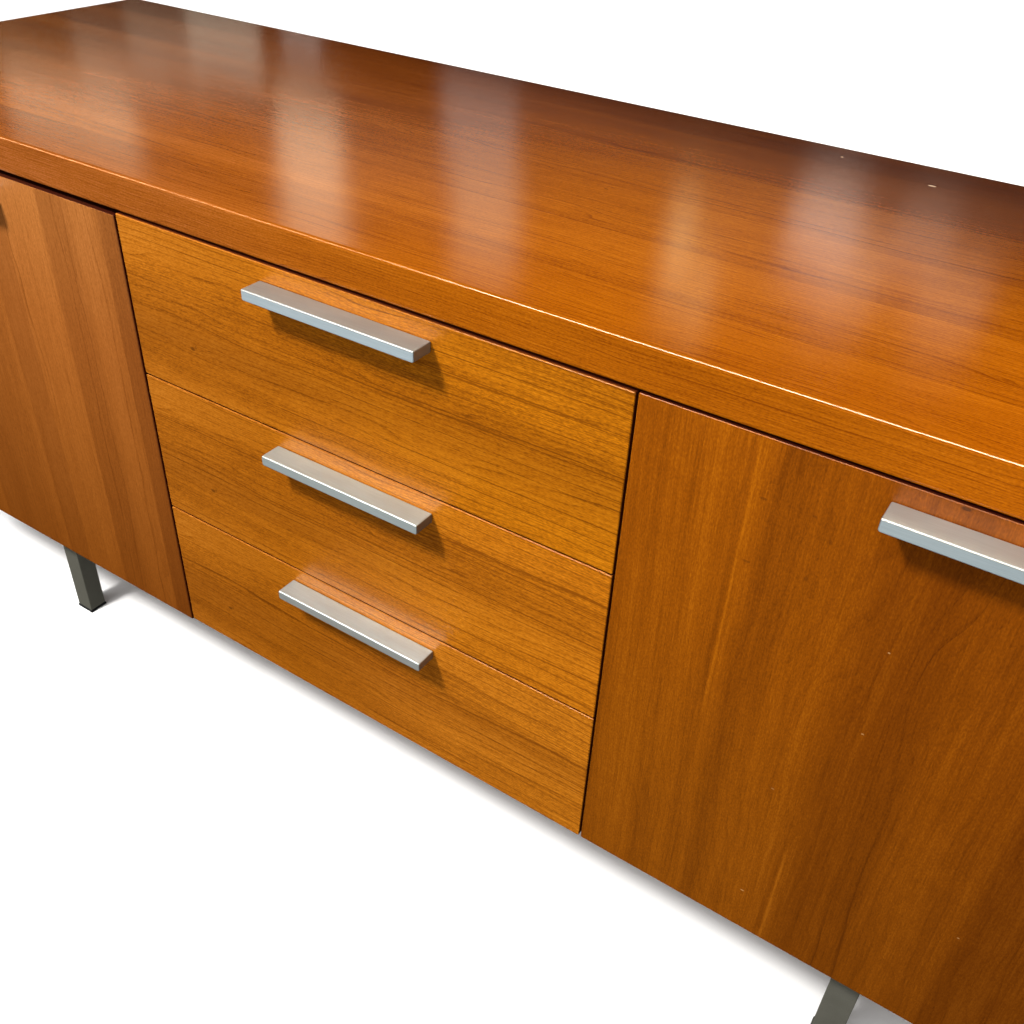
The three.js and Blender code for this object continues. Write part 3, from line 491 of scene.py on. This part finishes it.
for name, obj in nodes.items():
    if name == "top_slab":
        look(obj, TOP)
        soften(obj, 0.0034, 6)
    elif name.endswith("_drawer_front"):
        look(obj, DRAWER[name.split("_")[0]])
        soften(obj, 0.0011, 4)
    elif name in ("left_door", "right_door"):
        look(obj, DOOR[name.split("_")[0]])
        soften(obj, 0.0011, 4)
    elif name.endswith("_gable"):
        look(obj, CASE["gable"])
        soften(obj, 0.0012)
    elif name == "back_panel":
        look(obj, CASE["back"])
        soften(obj, 0.0006)
    elif name.endswith("_partition"):
        look(obj, CASE["upright"])
        soften(obj, 0.0006)
    elif name.endswith("_shelf") or name.endswith("_top_rail") or name == "bottom_panel":
        look(obj, CASE["flat"])
        soften(obj, 0.0006)
    elif name.endswith("_handle"):
        look(obj, ALU_LIT_COPIES[name.split("_")[0]])
        soften(obj, 0.0016, 5)
    elif name.endswith("_leg") or name.endswith("_frame_rail"):
        look(obj, LEG)
        soften(obj, 0.0016)
    elif name.endswith("_foot"):
        look(obj, FOOT)
        soften(obj, 0.0010)
    elif name.endswith("_catch"):
        look(obj, CATCH)
        soften(obj, 0.0010)
    elif name.endswith("_side"):
        look(obj, SIDE)
        soften(obj, 0.0004, 2)
    elif name.endswith("drawer_back") or name.endswith("drawer_bottom"):
        look(obj, BOARD)
        soften(obj, 0.0005)
    else:
        look(obj, ZINC)
        if name.endswith("_runner"):
            soften(obj, 0.0005, 2)
        else:
            soften(obj, 0.0002, 1)


# --------------------------------------------------------------------- fixings
def screw(bm, at, way, radius, tall, floor_at):
    """A domed cross-recess screw head standing on a face; the recess gets the second material, a near-black painted
    shade.
    """
    way = Vector(way)
    side = way.orthogonal().normalized()
    up = way.cross(side)
    arm, half = radius * 0.62, radius * 0.15
    turn = math.degrees(math.atan2(half, arm))
    angles = [math.radians(90 * q + d) for q in range(4) for d in (-45.0, -30.0, -turn, 0.0, turn, 30.0)]

    def cross(a):
        d = (math.degrees(a) + 45.0) % 90.0 - 45.0
        d = math.radians(abs(d))
        return arm / math.cos(d) if math.tan(d) <= half / arm + 1e-9 else half / math.sin(d)

    def ring(reach, height):
        return [bm.verts.new(at + way * height + (side * math.cos(a) + up * math.sin(a)) * reach(a)) for a in angles]

    rings = [ring(cross, floor_at), ring(lambda a: cross(a) * 1.06, tall), ring(lambda a: max(cross(a) * 1.06 + radius * 0.02, radius * 0.74), tall * 0.97),
             ring(lambda a: radius * 0.90, tall * 0.80), ring(lambda a: radius * 0.98, tall * 0.45), ring(lambda a: radius, -0.00002)]
    bm.faces.new(rings[0]).material_index = 1
    for i, (lower, higher) in enumerate(zip(rings, rings[1:])):
        for j in range(len(angles)):
            k = (j + 1) % len(angles)
            f = bm.faces.new((lower[j], lower[k], higher[k], higher[j]))
            f.material_index = 1 if i == 0 else 0
            f.smooth = i > 0


PAN = (0.0034, 0.0021, 0.0007)
FLUSH = (0.0027, 0.00014, 0.00002)
heads = {"carcass": [], "left_door": [], "right_door": [], "top_drawer": [], "middle_drawer": [], "bottom_drawer": []}
for body in ("left_door", "right_door", "top_drawer", "middle_drawer", "bottom_drawer"):
    lo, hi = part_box(f"{body}_handle")
    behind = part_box(body if body.endswith("door") else f"{body}_front")[1].y
    for x in (-0.096, 0.096):
        heads[body].append((Vector(((lo.x + hi.x) / 2 + x, behind, lo.z + 0.0045)), (0, 1, 0), PAN))
for hand, sign in (("left", -1), ("right", 1)):
    for level in ("lower", "upper"):
        lo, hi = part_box(f"{hand}_{level}_hinge_door_leaf")
        for z in (0.010, 0.030, 0.050):
            heads[f"{hand}_door"].append((Vector((sign * 0.8984, hi.y - 0.008, lo.z + z)), (sign, 0, 0), FLUSH))
            heads["carcass"].append((Vector((sign * 0.8990, hi.y - 0.008, lo.z + z)), (-sign, 0, 0), FLUSH))
    lo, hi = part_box(f"{hand}_door_catch")
    for x in (lo.x + 0.008, hi.x - 0.008):
        heads["carcass"].append((Vector((x, hi.y - 0.0065, lo.z)), (0, 0, -1), PAN))
    lo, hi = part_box(f"{hand}_frame_rail")
    for y in (-0.17, 0.013, 0.196):
        heads["carcass"].append((Vector(((lo.x + hi.x) / 2, y, lo.z)), (0, 0, -1), PAN))
fixings = []
for body, places in heads.items():
    bm = bmesh.new()
    for at, way, size in places:
        screw(bm, at, way, *size)
    bmesh.ops.recalc_face_normals(bm, faces=bm.faces[:])
    me = bpy.data.meshes.new(f"{body}_screws")
    bm.to_mesh(me)
    bm.free()
    piece = bpy.data.objects.new(f"{body}_screws", me)
    scene.collection.objects.link(piece)
    me.materials.append(ZINC)
    me.materials.append(RECESS_SHADE)
    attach(piece, body)
    fixings.append(piece)


# ------------------------------------------------------------------------ stage
def floor_material():
    g = Graph("floor_pale")
    x, y, z = g.xyz()
    n = g.noise(g.vec(x, y, z), scale=3.0, detail=4.0)
    return g.set(color=g.ramp(n, [(0.3, (0.90, 0.905, 0.91)), (0.7, (0.93, 0.935, 0.94))]), rough=0.9, spec=0.0)


me = bpy.data.meshes.new("floor")
bm = bmesh.new()
bmesh.ops.create_grid(bm, x_segments=8, y_segments=8, size=30.0)
bm.to_mesh(me)
bm.free()
floor = bpy.data.objects.new("floor", me)
scene.collection.objects.link(floor)
look(floor, floor_material())
floor.visible_glossy = False
floor.visible_diffuse = False


def panel(name, where, size, rot, power, color=(1.0, 1.0, 1.0), diffuse=True):
    d = bpy.data.lights.new(name, "AREA")
    d.shape = "RECTANGLE"
    d.size, d.size_y = size
    d.energy = power
    d.color = color
    o = bpy.data.objects.new(name, d)
    o.location = where
    o.rotation_euler = rot
    o.visible_camera = False
    o.visible_diffuse = diffuse
    scene.collection.objects.link(o)
    return o


def only(lamp, name, members):
    """The lamp lights these objects and no others."""
    group = bpy.data.collections.new(name)
    for o in members:
        group.objects.link(o)
    lamp.light_linking.receiver_collection = group


def aim(direction):
    return Vector(direction).to_track_quat("-Z", "Y").to_euler()


# soft key from the upper left in front
key_at = Vector((-0.91, -1.94, 3.11))
key_way = aim(Vector((0.05, -0.28, 0.55)) - key_at)
key = panel("key", key_at, (0.42, 0.42), key_way, 135.0, (1.0, 0.965, 0.92))
only(key, "lit_key", [o for n, o in nodes.items() if n != "top_slab"] + fixings + [floor])
key_top = panel("key_top", key_at, (0.42, 0.42), key_way, 135.0, (1.0, 0.965, 0.92))
key_top.visible_glossy = False
only(key_top, "lit_key_top", [nodes["top_slab"]])

# weak broad fill from the front right
fill = panel("fill", (1.3, -3.4, 1.1), (3.6, 2.0), aim((-0.25, 1.0, -0.15)), 0.95 * math.pi * 7.2, (1.0, 0.98, 0.95))
fill.visible_glossy = False

# low soft fills that reach the sides and the back, none of them above the top
for n, where, size, way in (("fill_back", (0.0, 3.6, 0.40), (4.0, 0.68), (0, -1, 0)), ("fill_left", (-4.2, 0.9, 0.40), (2.2, 0.68), (1, -0.12, 0)),
                            ("fill_right", (4.2, 0.9, 0.40), (2.2, 0.68), (-1, -0.12, 0))):
    o = panel(n, where, size, aim(way), 2.6 * math.pi * size[0] * size[1], (1.0, 0.98, 0.95))
    o.visible_glossy = False

# even light on the floor
sun = bpy.data.lights.new("floor_light", "SUN")
sun.energy = 2.4
sun.angle = math.radians(40)
sun.color = (1.0, 1.0, 1.0)
even = bpy.data.objects.new("floor_light", sun)
even.rotation_euler = aim((0.20, 0.35, -0.90))
scene.collection.objects.link(even)
only(even, "lit_floor", [floor])

# room as the metal parts see it: cool pale floor in front, warm ceiling
wood = ("top_slab", "back_panel", "bottom_panel")
metal = [o for n, o in nodes.items() if n not in wood
         and not n.endswith(("_door", "_front", "_gable", "_partition", "_shelf", "_top_rail"))] + fixings
bars = [o for n, o in nodes.items() if n.endswith("_handle")]
glow = panel("slab_low", (0.0, -1.6, 0.03), (4.0, 2.0), (math.radians(180), 0, 0), 0.55 * math.pi * 8.0, (1.0, 0.97, 0.92))
glow.visible_glossy = False
only(glow, "lit_slab", [nodes["top_slab"]])
low = panel("bar_low", (-0.4, -1.70, 0.02), (3.4, 2.1), (math.radians(180), 0, 0), 1.31 * math.pi * 3.4 * 2.1, (0.80, 0.97, 1.0))
only(low, "lit_bars", bars)
sky = panel("metal_sky", (0.0, 0.0, 3.4), (7.0, 7.0), (0, 0, 0), 0.55 * math.pi * 49.0, (1.0, 1.0, 0.97))
only(sky, "lit_metal", metal)

# long narrow strip in front, seen only in the rounded edges
STRIP = aim((0.0, 1.07, -1.243))
slab = [nodes["top_slab"]]
fronts = [o for n, o in nodes.items() if n.endswith(("_door", "_front"))]
for n, x0, x1, tall, lum, col, lit in (("arris_left", -3.4, -1.6, 0.30, 30.0, (1.0, 0.60, 0.30), slab), ("arris_mid", -1.6, -0.95, 0.30, 24.0, (1.0, 0.72, 0.38), slab),
                                       ("arris_right", -0.95, 2.5, 0.42, 46.0, (1.0, 0.92, 0.62), slab),
                                       ("rim_left", -3.4, -1.6, 0.30, 17.0, (1.0, 0.60, 0.34), fronts), ("rim_mid", -1.6, -0.95, 0.30, 13.0, (1.0, 0.72, 0.46), fronts),
                                       ("rim_right", -0.95, 2.5, 0.42, 24.0, (1.0, 0.93, 0.80), fronts),
                                       ("bar_left", -3.2, -1.6, 0.30, 9.0, (1.0, 0.62, 0.32), bars), ("bar_mid", -1.6, -0.95, 0.30, 11.0, (1.0, 0.72, 0.38), bars),
                                       ("bar_right", -0.95, 2.5, 0.30, 14.0, (1.0, 0.85, 0.52), bars)):
    only(panel(n, ((x0 + x1) / 2, -1.35, 2.0), (x1 - x0, tall), STRIP, lum * math.pi * (x1 - x0) * tall, col, diffuse=False), "lit_" + n, lit)

# tall soft strips behind, seen only as sheen on the lacquered top
BACK = (math.radians(-90), 0, 0)
for n, cx, cz, w, h, lum, col, shape in (
    ("strip_a", -2.48, 1.95, 0.36, 0.67, 1.65, (1.0, 0.84, 0.60), "RECTANGLE"),
    ("strip_a_core", -2.47, 2.11, 0.24, 0.40, 3.5, (1.0, 0.96, 0.78), "ELLIPSE"),
    ("strip_a_low", -2.48, 1.34, 0.20, 0.07, 1.2, (1.0, 0.95, 0.88), "RECTANGLE"),
    ("strip_b", -1.62, 1.56, 0.32, 0.30, 0.58, (0.90, 0.98, 0.95), "RECTANGLE"),
    ("strip_b_high", -1.58, 1.90, 0.30, 0.44, 1.0, (1.0, 0.92, 0.68), "RECTANGLE"),
    ("strip_c", -0.76, 1.80, 0.10, 0.36, 1.7, (1.0, 0.86, 0.48), "RECTANGLE"),
    ("strip_c_high", -0.66, 1.95, 0.10, 0.24, 2.0, (1.0, 0.86, 0.46), "ELLIPSE"),
    ("strip_d", -0.28, 1.60, 0.25, 0.30, 1.5, (1.0, 0.94, 0.84), "ELLIPSE"),
    ("strip_d_high", -0.18, 1.71, 0.24, 0.28, 1.25, (1.0, 0.90, 0.72), "ELLIPSE"),
    ("strip_e", 0.02, 1.58, 0.20, 0.24, 0.8, (1.0, 0.92, 0.80), "ELLIPSE"),
    ("strip_e_high", 0.16, 1.72, 0.22, 0.26, 0.85, (1.0, 0.90, 0.72), "ELLIPSE"),
    ("strip_f_right", -2.92, 1.45, 0.42, 0.26, 0.84, (1.0, 0.94, 0.74), "RECTANGLE"),
    ("strip_f_mid", -3.30, 1.555, 0.46, 0.25, 0.56, (1.0, 0.93, 0.72), "RECTANGLE"),
    ("strip_f_left", -3.62, 1.67, 0.62, 0.20, 0.58, (1.0, 0.92, 0.72), "RECTANGLE"),
    ("strip_h", -1.95, 1.76, 0.66, 0.38, 0.12, (0.94, 1.0, 0.92), "RECTANGLE"),
    ("strip_h_mid", -1.15, 1.76, 0.80, 0.38, 0.05, (1.0, 1.0, 0.85), "RECTANGLE"),
    ("strip_h_right", -0.54, 1.74, 0.30, 0.38, 0.14, (0.86, 1.0, 0.92), "RECTANGLE"),
    ("strip_k", -0.62, 1.445, 2.40, 0.11, 0.17, (0.84, 0.98, 1.0), "RECTANGLE"),
    ("strip_g", -4.08, 1.955, 1.00, 0.27, 1.58, (1.0, 0.84, 0.58), "RECTANGLE"),
):
    o = panel(n, (cx, 2.301, cz + 0.003), (w, h), BACK, lum * math.pi * w * h * (0.785 if shape == "ELLIPSE" else 1.0), col, diffuse=False)
    o.data.shape = shape

world = bpy.data.worlds.new("room")
scene.world = world
world.use_nodes = True
wt = world.node_tree
wt.nodes.clear()
wo = wt.nodes.new("ShaderNodeOutputWorld")
soft = wt.nodes.new("ShaderNodeBackground")
geo = wt.nodes.new("ShaderNodeTexCoord")
sepw = wt.nodes.new("ShaderNodeSeparateXYZ")
wt.links.new(geo.outputs["Generated"], sepw.inputs[0])
lift = wt.nodes.new("ShaderNodeMapRange")
wt.links.new(sepw.outputs[2], lift.inputs["Value"])
for k, val in (("From Min", -1.0), ("From Max", 1.0), ("To Min", 0.0), ("To Max", 1.0)):
    lift.inputs[k].default_value = val
up = wt.nodes.new("ShaderNodeValToRGB")
e = up.color_ramp.elements
e[0].position, e[0].color = 0.0, (0.16, 0.15, 0.14, 1.0)
e[1].position, e[1].color = 1.0, (1.0, 0.985, 0.96, 1.0)
for pos, c in ((0.47, (0.22, 0.21, 0.20)), (0.56, (0.95, 0.94, 0.92))):
    el = e.new(pos)
    el.color = (*c, 1.0)
wt.links.new(lift.outputs["Result"], up.inputs[0])
wt.links.new(up.outputs[0], soft.inputs["Color"])
soft.inputs["Strength"].default_value = 0.65
wt.links.new(soft.outputs[0], wo.inputs[0])
world.cycles_visibility.glossy = False

scene.view_settings.view_transform = "Standard"
scene.view_settings.look = "None"

# ----------------------------------------------------------------------- camera
cam = bpy.data.cameras.new("camera")
cam.sensor_width = 36.0
cam.sensor_fit = "HORIZONTAL"
cam.lens = 35.9834
cam.clip_end = 100.0
eye = bpy.data.objects.new("camera", cam)
eye.location = (0.583288, -0.913415, 1.109634)
eye.rotation_euler = (0.931828, -0.040799, 0.580890)
scene.collection.objects.link(eye)
scene.camera = eye
